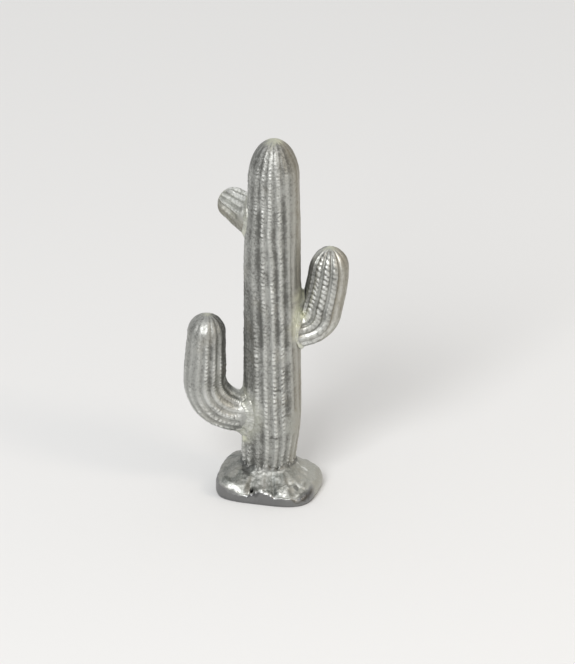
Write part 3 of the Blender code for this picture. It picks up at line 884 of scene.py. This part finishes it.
# The rock
# The foot is one more casting, a rounded block with a lumpy top. Its wall and its high edges are ground and
# polished, the hollows are left as cast, grey-green and matt, and a blow hole shows near the front edge.
# Painted highlights on the front edges and patches, painted shade in patches and in the blow hole, a painted
# dark reflection on the front wall and painted warm light on the right side.

ROCK_HALF_WIDTH = 0.0818
ROCK_HALF_DEPTH = 0.0690
ROCK_CENTRE = Vector((0.0008, -0.0130, 0.0))
ROCK_TURN = math.radians(-15.5)
ROCK_SQUARENESS = 3.6
WALL_TUCK = 0.025
TUCK_SHARE = 0.3
LUMP_HEIGHT = 0.005
LUMP_SIZE = 0.030
ROCK_SEAT = 0.0455
SEAT_RADIUS = 0.0460
ROCK_SIDES = 480
WALL_RINGS = 36
TOP_RINGS = 70
SHOULDER_RINGS = 6.0
# The height at which the rounded shoulder ends, by the angle from +X in degrees
SHOULDERS = (
    (-180.0, 0.0340), (-165.0, 0.0310), (-151.0, 0.0262), (-138.0, 0.0205), (-127.0, 0.0150),
    (-121.0, 0.0140), (-115.0, 0.0190), (-109.0, 0.0235), (-101.0, 0.0275), (-94.0, 0.0245),
    (-88.0, 0.0205), (-84.0, 0.0170), (-70.0, 0.0165), (-58.0, 0.0130), (-52.0, 0.0165),
    (-45.0, 0.0205), (-30.0, 0.0250), (-10.0, 0.0280), (20.0, 0.0300), (60.0, 0.0290),
    (100.0, 0.0330), (130.0, 0.0385), (160.0, 0.0385), (180.0, 0.0340),
)
# How far the shoulder is rounded, by the same angle
ROUNDS = (
    (-180.0, 0.016), (-165.0, 0.012), (-152.0, 0.0022), (-128.0, 0.0022), (-118.0, 0.007), (-85.0, 0.007),
    (-78.0, 0.0030), (-66.0, 0.0030), (-58.0, 0.009), (-48.0, 0.011), (-35.0, 0.016),
    (-10.0, 0.020), (30.0, 0.020), (60.0, 0.016), (180.0, 0.016),
)
# How steeply the top climbs towards the trunk's foot: 1 is even, and more is flat first and steep at the end
CLIMBS = (
    (-180.0, 0.9), (-155.0, 1.0), (-128.0, 1.1), (-108.0, 1.4), (-90.0, 1.6), (-60.0, 1.6), (-30.0, 1.3),
    (0.0, 1.0), (40.0, 0.9), (180.0, 0.9),
)
# How high a steep facet stands just behind the shoulder, by the same angle
FACETS = (
    (-165.0, 0.0), (-154.0, 0.0075), (-126.0, 0.0080), (-119.0, 0.0), (-84.0, 0.0), (-78.0, 0.0050),
    (-66.0, 0.0045), (-58.0, 0.0),
)
FACET_DEPTH = 0.0065
# How bright the front shoulder is buffed and given a painted highlight, by the same angle
SHOULDER_BUFF_AND_HIGHLIGHT = (
    (-170.0, 0.0), (-156.0, 0.21), (-124.0, 0.3), (-118.0, 0.03), (-112.0, 0.21), (-84.0, 0.24),
    (-78.0, 0.09), (-70.0, 0.18), (-60.0, 0.09), (-50.0, 0.0), (180.0, 0.0),
)
# Ridges on the top: points in millimetres, then the half width, the height and how bright they are buffed,
# partly as a painted highlight
RIDGES = (
    (((-61.9, -49.1, 23.7), (-51.8, -54.7, 22.9)), 1.6, 0.5, 0.5),
    (((-45.5, -57.2, 22.5), (-35.8, -64.9, 20.5)), 1.6, 0.5, 0.5),
    (((11.2, -82.7, 16.0), (16.7, -77.2, 18.8), (23.6, -72.7, 21.3), (31.1, -68.7, 24.6)), 2.4, 1.2, 0.9),
    (((15.5, -69.5, 23.4), (23.8, -67.0, 26.2), (30.3, -64.3, 29.2)), 2.0, 1.0, 0.6),
    (((31.4, -86.7, 13.4), (38.7, -85.1, 14.7), (47.9, -85.1, 11.0)), 2.5, 0.4, 0.5),
    (((-25.2, -43.8, 45.0), (-19.6, -50.9, 43.4), (-15.1, -56.3, 39.4), (-10.4, -58.8, 36.9)), 2.2, 1.4, 1.0),
    (((-7.6, -50.3, 44.5), (1.0, -51.8, 42.6), (9.3, -54.1, 39.6), (18.8, -57.5, 35.6)), 2.0, 1.2, 0.8),
    (((16.7, -46.5, 44.5), (24.0, -44.0, 44.0)), 2.4, 1.0, 0.6),
    (((43.6, -58.6, 29.9), (49.7, -58.4, 25.7), (56.2, -60.2, 20.3)), 2.6, 1.2, 0.6),
    (((44.8, -12.1, 44.7), (51.5, -18.8, 40.8), (59.6, -21.9, 35.0), (65.8, -22.3, 30.0)), 1.6, 0.8, 0.6),
)
RIDGE_LINES = [([Vector(spot) / 1000.0 for spot in line], *sizes) for line, *sizes in RIDGES]
# Painted highlights and painted shade, placed as the camera sees them, in millimetres right of the trunk's
# foot
# and above it: the middle, the half length and height, the tilt in degrees, and how bright the painted
# highlight is or, below zero, how dark the painted shade is
PAINTED_LIGHT_PATCHES = (
    ((-54.4, -6.5), (17.5, 4.6), -30.0, 0.9),
    ((-56.0, -13.0), (13.0, 3.2), -22.0, 0.3),
    ((-10.8, -8.1), (9.5, 2.4), 0.0, 0.8),
    ((1.0, -15.5), (8.0, 2.2), -38.0, 0.7),
    ((23.1, -12.9), (10.0, 6.5), -15.0, 1.0),
    ((41.6, -22.6), (8.0, 2.4), -20.0, 0.6),
    ((-18.1, 16.9), (8.5, 5.0), -30.0, 0.3),
    ((5.3, 14.5), (14.0, 5.0), -10.0, 0.3),
    ((23.0, 26.6), (5.0, 4.5), 30.0, 0.7),
    ((49.7, -0.8), (6.0, 4.5), -20.0, 0.7),
    ((55.3, 27.4), (14.5, 1.4), -38.0, 0.7),
    ((-36.5, 26.6), (7.0, 15.0), 0.0, -0.7),
    ((44.0, -5.6), (5.0, 3.0), -30.0, -0.7),
    ((58.6, -17.7), (11.0, 7.5), 30.0, -0.6),
    ((-22.0, -12.0), (5.0, 9.0), 20.0, -0.5),
    ((-11.7, 2.0), (17.0, 6.0), -10.0, -0.2),
)
# Hollows in the top: the middle, the radius and the depth in millimetres
HOLLOWS = (
    ((-31.0, -44.0), 16.0, 2.0),
    ((-8.0, -66.0), 12.0, 2.0),
    ((44.0, -67.0), 8.0, 1.5),
    ((62.0, -68.0), 9.0, 1.0),
    ((34.0, -55.0), 8.0, 1.2),
)
# The collar of metal that creeps up round the trunk's foot: shares of the seat's radius, and heights
COLLAR = ((0.975, 0.0030), (0.95, 0.0055), (0.925, 0.0065), (0.9, 0.0060), (0.885, 0.0))
HOLE = Vector((-0.0277, -0.0660))
HOLE_RADIUS = 0.0034
HOLE_DEPTH = 0.005
HOLE_ABOVE = 0.012
# The side of the wall that is polished and given a painted dark reflection, in degrees from -X round the
# front, and its softness
POLISHED_AND_DARKENED_SIDE = (5.0, 142.0, 16.0)
ELEVATION = math.radians(25.0)


def rock_reach(angle):
    """How far the rock's outline lies from its centre, as a superellipse on its own turned axes."""
    own = angle - ROCK_TURN
    width = abs(math.cos(own) / ROCK_HALF_WIDTH) ** ROCK_SQUARENESS
    depth = abs(math.sin(own) / ROCK_HALF_DEPTH) ** ROCK_SQUARENESS
    return (width + depth) ** (-1.0 / ROCK_SQUARENESS)


def seat_edge(angle, share=1.0):
    """The floor under the edge of the trunk's seat, or nearer the trunk's axis."""
    return SEAT_RADIUS * share * Vector((math.cos(angle), math.sin(angle), 0.0))


def round_the_clock(knots, angle):
    """A value from a table by the angle in degrees, at an angle in radians."""
    return eased(knots, (math.degrees(angle) + 180.0) % 360.0 - 180.0)


def rock_wall(angle, share):
    """A point of the wall: share 0 is on the floor, and 1 is where the rounded shoulder ends."""
    reach = rock_reach(angle) * (1.0 - WALL_TUCK * max(1.0 - share / TUCK_SHARE, 0.0) ** 2)
    rim = ROCK_CENTRE + reach * Vector((math.cos(angle), math.sin(angle), 0.0))
    inwards = seat_edge(angle) - rim
    inset = min(round_the_clock(ROUNDS, angle), 0.5 * inwards.length)
    height = round_the_clock(SHOULDERS, angle)
    start = max(1.0 - inset / height, 0.1)
    rounding = max(share - start, 0.0) / (1.0 - start)
    place = rim + inwards.normalized() * inset * (1.0 - math.sqrt(1.0 - rounding ** 2))
    place.z = share * height
    return place


def rock_top(angle, inward):
    """A point of the top: inward 0 is where the shoulder ends, and 1 on the edge of the seat."""
    edge = rock_wall(angle, 1.0)
    place = Vector((edge.x, edge.y, 0.0)).lerp(seat_edge(angle), inward)
    lumps = LUMP_HEIGHT * math.sin(inward * math.pi) ** 0.7 * noise.noise(place / LUMP_SIZE)
    # Away from the shoulder the top follows the shoulder's mean height over 24 degrees to either side
    broad = sum(round_the_clock(SHOULDERS, angle + math.radians(apart)) for apart in range(-24, 25, 6)) / 9.0
    dip = (edge.z - broad) * (1.0 - inward) ** 5
    facet = round_the_clock(FACETS, angle)
    climb = (ROCK_SEAT - broad - facet) * inward ** round_the_clock(CLIMBS, angle)
    behind = (Vector((edge.x, edge.y, 0.0)) - place).length / FACET_DEPTH
    place.z = broad + facet * math.sin(min(behind, 1.0) * math.pi / 2.0) + climb + dip + lumps
    return place


def painted_light_at(point):
    """How bright a painted highlight, or below zero how dark a painted shade, the patches put on a point of
    the side that the camera sees.
    """
    if point.y > 0.02:
        return 0.0
    right = point.x * 1000.0
    up = (point.z * math.cos(ELEVATION) + point.y * math.sin(ELEVATION)) * 1000.0
    shine = 0.0
    for (middle_right, middle_up), (half_length, half_height), tilt, strength in PAINTED_LIGHT_PATCHES:
        turned = Vector((right - middle_right, up - middle_up)) @ Matrix.Rotation(math.radians(tilt), 2)
        distance = math.hypot(turned.x / half_length, turned.y / half_height)
        distance += 0.5 * noise.noise(point / 0.006)
        here = strength * window(distance, 0.0, 0.65, 0.6)
        shine = here if abs(here) > abs(shine) else shine
    return shine


def from_line(point, line):
    """How far a point lies from a chain of points."""
    nearest = 1.0
    for start, end in zip(line, line[1:]):
        along = end - start
        share = min(max((point - start).dot(along) / along.length_squared, 0.0), 1.0)
        nearest = min(nearest, (point - start - share * along).length)
    return nearest


def small_forms(point):
    """How far the ridges and hollows lift a point of the top, and how bright the ridges are buffed there."""
    lift = 0.0
    bright = 0.0
    for line, width, height, shine in RIDGE_LINES:
        distance = from_line(point, line) * 1000.0
        if distance < 2.5 * width:
            crown = math.exp(-(distance / width) ** 2)
            lift += height / 1000.0 * crown
            bright = max(bright, shine * crown)
    for (middle_x, middle_y), radius, depth in HOLLOWS:
        distance = math.hypot(point.x * 1000.0 - middle_x, point.y * 1000.0 - middle_y) / radius
        lift -= depth / 1000.0 * math.exp(-distance * distance * 1.5)
    return lift, bright


def rock_rings(angles):
    """The rings from the floor up: the points, and the shares of polish with its painted dark reflection,
    shoulder, small forms and collar.
    """
    for step in range(WALL_RINGS):
        share = step / WALL_RINGS
        ring = [rock_wall(angle, share ** 0.8) for angle in angles]
        polish_and_dark_reflection = window(share, 0.0, 0.80, 0.16)
        yield ring, polish_and_dark_reflection, window(share, 0.82, 1.0, 0.08), window(share, 0.7, 1.0, 0.3), 0.0
    for step in range(TOP_RINGS + 1):
        inward = step / TOP_RINGS
        ring = [rock_top(angle, inward) for angle in angles]
        yield ring, 0.0, max(0.0, 1.0 - step / SHOULDER_RINGS), 1.0, 0.5 * window(inward, 1.0, 1.0, 0.05)
    for share, height in COLLAR:
        ring = [seat_edge(angle, share) for angle in angles]
        for angle, point in zip(angles, ring):
            point.z = ROCK_SEAT + height * (0.8 + 1.2 * noise.noise(seat_edge(angle) / 0.006))
        yield ring, 0.0, 0.0, float(height > 0.0), 0.5


def rock_mesh():
    """The rings of the wall, of the top and of the seat under the trunk, closed below and above."""
    angles = [math.tau * side / ROCK_SIDES for side in range(ROCK_SIDES)]
    points = []
    marks = {"polish_and_dark_reflection": [], "buffed_and_painted_highlight": [], "painted_shade_and_collar": [], "hole": []}
    for ring, polish_and_dark_reflection, shoulder, freedom, collar in rock_rings(angles):
        for angle, point in zip(angles, ring):
            # Buffing and a painted highlight on the shoulder and the ridges
            bright = shoulder * round_the_clock(SHOULDER_BUFF_AND_HIGHLIGHT, angle)
            away = Vector(((point.x - HOLE.x) * 1.2, (point.y - HOLE.y) * 0.7)).length
            hole = window(away, 0.0, HOLE_RADIUS * 0.8, HOLE_RADIUS * 0.4) if point.z > HOLE_ABOVE else 0.0
            rise = 0.0014 * noise.noise(point / 0.013) + 0.0012 * noise.noise(point / 0.007)
            rise += 0.0003 * noise.noise(point / 0.003)
            if freedom > 0.0 and point.y < 0.0:
                lift, shine = small_forms(point)
                rise += lift
                bright = max(bright, shine)
            # Painted highlights and painted shade from the patches
            shine = painted_light_at(point)
            marks["polish_and_dark_reflection"].append(polish_and_dark_reflection * window(math.degrees(angle + math.pi) % 360.0, *POLISHED_AND_DARKENED_SIDE))
            marks["buffed_and_painted_highlight"].append(max(bright, shine) * (1.0 - collar))
            # Painted shade from the patches, and a darker collar at the trunk's foot
            marks["painted_shade_and_collar"].append(max(-shine, collar))
            marks["hole"].append(hole)
            point.z += freedom * rise - HOLE_DEPTH * hole
        points += ring
    faces = []
    last = len(points) - ROCK_SIDES
    for side in range(ROCK_SIDES):
        after = (side + 1) % ROCK_SIDES
        for low in range(0, last, ROCK_SIDES):
            high = low + ROCK_SIDES
            faces.append((low + side, low + after, high + after, high + side))
        faces.append((after, side, len(points)))
        faces.append((last + side, last + after, len(points) + 1))
    points += [ROCK_CENTRE.copy(), Vector((0.0, 0.0, ROCK_SEAT))]
    mesh = bpy.data.meshes.new("rock")
    mesh.from_pydata(points, [], faces)
    for title, values in marks.items():
        add_marks(mesh, title, values + [0.0, 0.0])
    mesh.shade_smooth()
    return mesh


HOLLOW_PALE = (0.37, 0.37, 0.345, 1.0)
HOLLOW_GREEN = (0.22, 0.23, 0.215, 1.0)
RIGHT_PAINTED_WARM_LIGHT = (0.53, 0.53, 0.485, 1.0)
FLECK_PALE = (0.7, 0.7, 0.69, 1.0)
WALL_PAINTED_DARK_REFLECTION = (0.22, 0.22, 0.222, 1.0)
SHADE_AND_COLLAR_DARK = (0.10, 0.10, 0.098, 1.0)
HOLE_PAINTED_SHADE = (0.004, 0.004, 0.004, 1.0)


def rock_metal():
    """Polished on the wall and high edges, grey-green and matt in the hollows, painted light, and painted
    shade in the hole.
    """
    material, bench, place = new_metal("rock aluminium")
    mark = bench.mark
    cloud = bench.noise(place, 0.022, detail=4.0)
    fine = bench.noise(place, 0.003, detail=3.0)
    right, _, _ = bench.split(place)
    colour = bench.mix(cloud.eased(0.35, 0.65), HOLLOW_PALE, HOLLOW_GREEN)
    # Painted warm light: paler and warmer towards the rock's right side
    colour = bench.mix(right.eased(0.015, 0.065, 0.0, 0.85), colour, RIGHT_PAINTED_WARM_LIGHT)
    colour = bench.mix(((fine - 0.5) * 1.5).within(0.0, 0.6), colour, FLECK_PALE)
    # Painted dark reflection: the polished front wall is a darker grey
    colour = bench.mix(mark("polish_and_dark_reflection") * 0.9, colour, WALL_PAINTED_DARK_REFLECTION)
    broken = bench.noise(place, 0.007, detail=3.0).eased(0.35, 0.6, 0.25, 1.0)
    # Buffing, and painted highlights on the front edges, ridges and patches
    colour = bench.mix((mark("buffed_and_painted_highlight") * broken).within(0.0, 1.0), colour, KNOT_BRIGHT)
    # Painted shade, and the darker collar round the trunk's foot
    colour = bench.mix(mark("painted_shade_and_collar"), colour, SHADE_AND_COLLAR_DARK)
    # Painted shade in the blow hole
    colour = bench.mix(mark("hole"), colour, HOLE_PAINTED_SHADE)
    roughness = 0.58 - mark("polish_and_dark_reflection") * 0.22 - mark("buffed_and_painted_highlight") * 0.08 + (cloud - 0.5) * 0.25
    grain = bench.noise(place, 0.0016, detail=2.0) * 0.4 + fine
    finish_metal(bench, colour, roughness, grain, 0.22, 0.0005)
    return material


rock = rock_mesh()
rock.materials.append(rock_metal())
piece("rock_casting", rock, ["rock_base"])

# The floor, the light and the camera
# A pale floor, a broad soft light from the front left, a small warm one from the right, and the camera at
# the photograph's angle, far enough away to show the ornament almost without perspective.

FLOOR_REACH = 40.0
FLOOR_COLOUR = (0.755, 0.755, 0.752, 1.0)
corners = [(x * FLOOR_REACH, y * FLOOR_REACH, 0.0) for x, y in ((-1, -1), (1, -1), (1, 1), (-1, 1))]
floor_mesh = bpy.data.meshes.new("floor")
floor_mesh.from_pydata(corners, [], [(0, 1, 2, 3)])
floor = linked("floor", floor_mesh)
paint = bpy.data.materials.new("floor paint")
paint.use_nodes = True
paint.node_tree.nodes["Principled BSDF"].inputs["Base Color"].default_value = FLOOR_COLOUR
paint.node_tree.nodes["Principled BSDF"].inputs["Roughness"].default_value = 0.9
floor_mesh.materials.append(paint)
LIGHT_AIM = Vector((0.0, 0.0, 0.3))


def softbox(name, place, side, power, colour):
    """A square light that faces the ornament."""
    light = bpy.data.lights.new(name, "AREA")
    light.shape = "SQUARE"
    light.size = side
    light.energy = power
    light.color = colour
    lamp = linked(name, light)
    lamp.location = place
    lamp.rotation_euler = (LIGHT_AIM - Vector(place)).to_track_quat("-Z", "Y").to_euler()


softbox("key", (-3.6, -8.8, 7.4), 5.3, 975.0, (1.0, 1.0, 1.0))
softbox("right", (2.8, -1.6, 3.0), 0.9, 22.0, (1.0, 0.88, 0.74))

# The room: bright above and behind the ornament, darker elsewhere near the horizon, and warmer on the right
WALLS_DARK = (0.20, 0.20, 0.20, 1.0)
WALLS_WARM = (0.42, 0.36, 0.26, 1.0)
WALLS_BEHIND = (0.80, 0.80, 0.80, 1.0)
CEILING = (0.86, 0.86, 0.86, 1.0)
world = bpy.data.worlds.new("studio")
bpy.context.scene.world = world
world.use_nodes = True
air = Bench(world.node_tree)
east, north, up = air.split(air.node("ShaderNodeTexCoord", {}, {}, "Generated"))
walls = air.mix(east.eased(-0.2, 0.9), WALLS_DARK, WALLS_WARM)
walls = air.mix(north.eased(0.2, 0.9), walls, WALLS_BEHIND)
sky = air.mix(up.eased(0.05, 0.85), walls, CEILING)
backdrop = world.node_tree.nodes["Background"]
world.node_tree.links.new(sky.socket, backdrop.inputs["Color"])
backdrop.inputs["Strength"].default_value = 0.88

DISTANCE = 36.0
METRES_PER_PIXEL = 0.001613
IMAGE_WIDTH, IMAGE_HEIGHT = 575, 664
FOOT_PIXEL = (268.7, 484.5)
aim_x = (IMAGE_WIDTH / 2.0 - FOOT_PIXEL[0]) * METRES_PER_PIXEL
aim_z = (FOOT_PIXEL[1] - IMAGE_HEIGHT / 2.0) * METRES_PER_PIXEL / math.cos(ELEVATION)
camera_data = bpy.data.cameras.new("camera")
camera_data.sensor_width = 36.0
camera_data.lens = camera_data.sensor_width * DISTANCE / (IMAGE_HEIGHT * METRES_PER_PIXEL)
camera_data.clip_end = 3.0 * FLOOR_REACH
camera = linked("camera", camera_data)
camera.location = (aim_x, -DISTANCE * math.cos(ELEVATION), aim_z + DISTANCE * math.sin(ELEVATION))
camera.rotation_euler = (math.pi / 2.0 - ELEVATION, 0.0, 0.0)
bpy.context.scene.camera = camera
bpy.context.scene.view_settings.view_transform = "Standard"
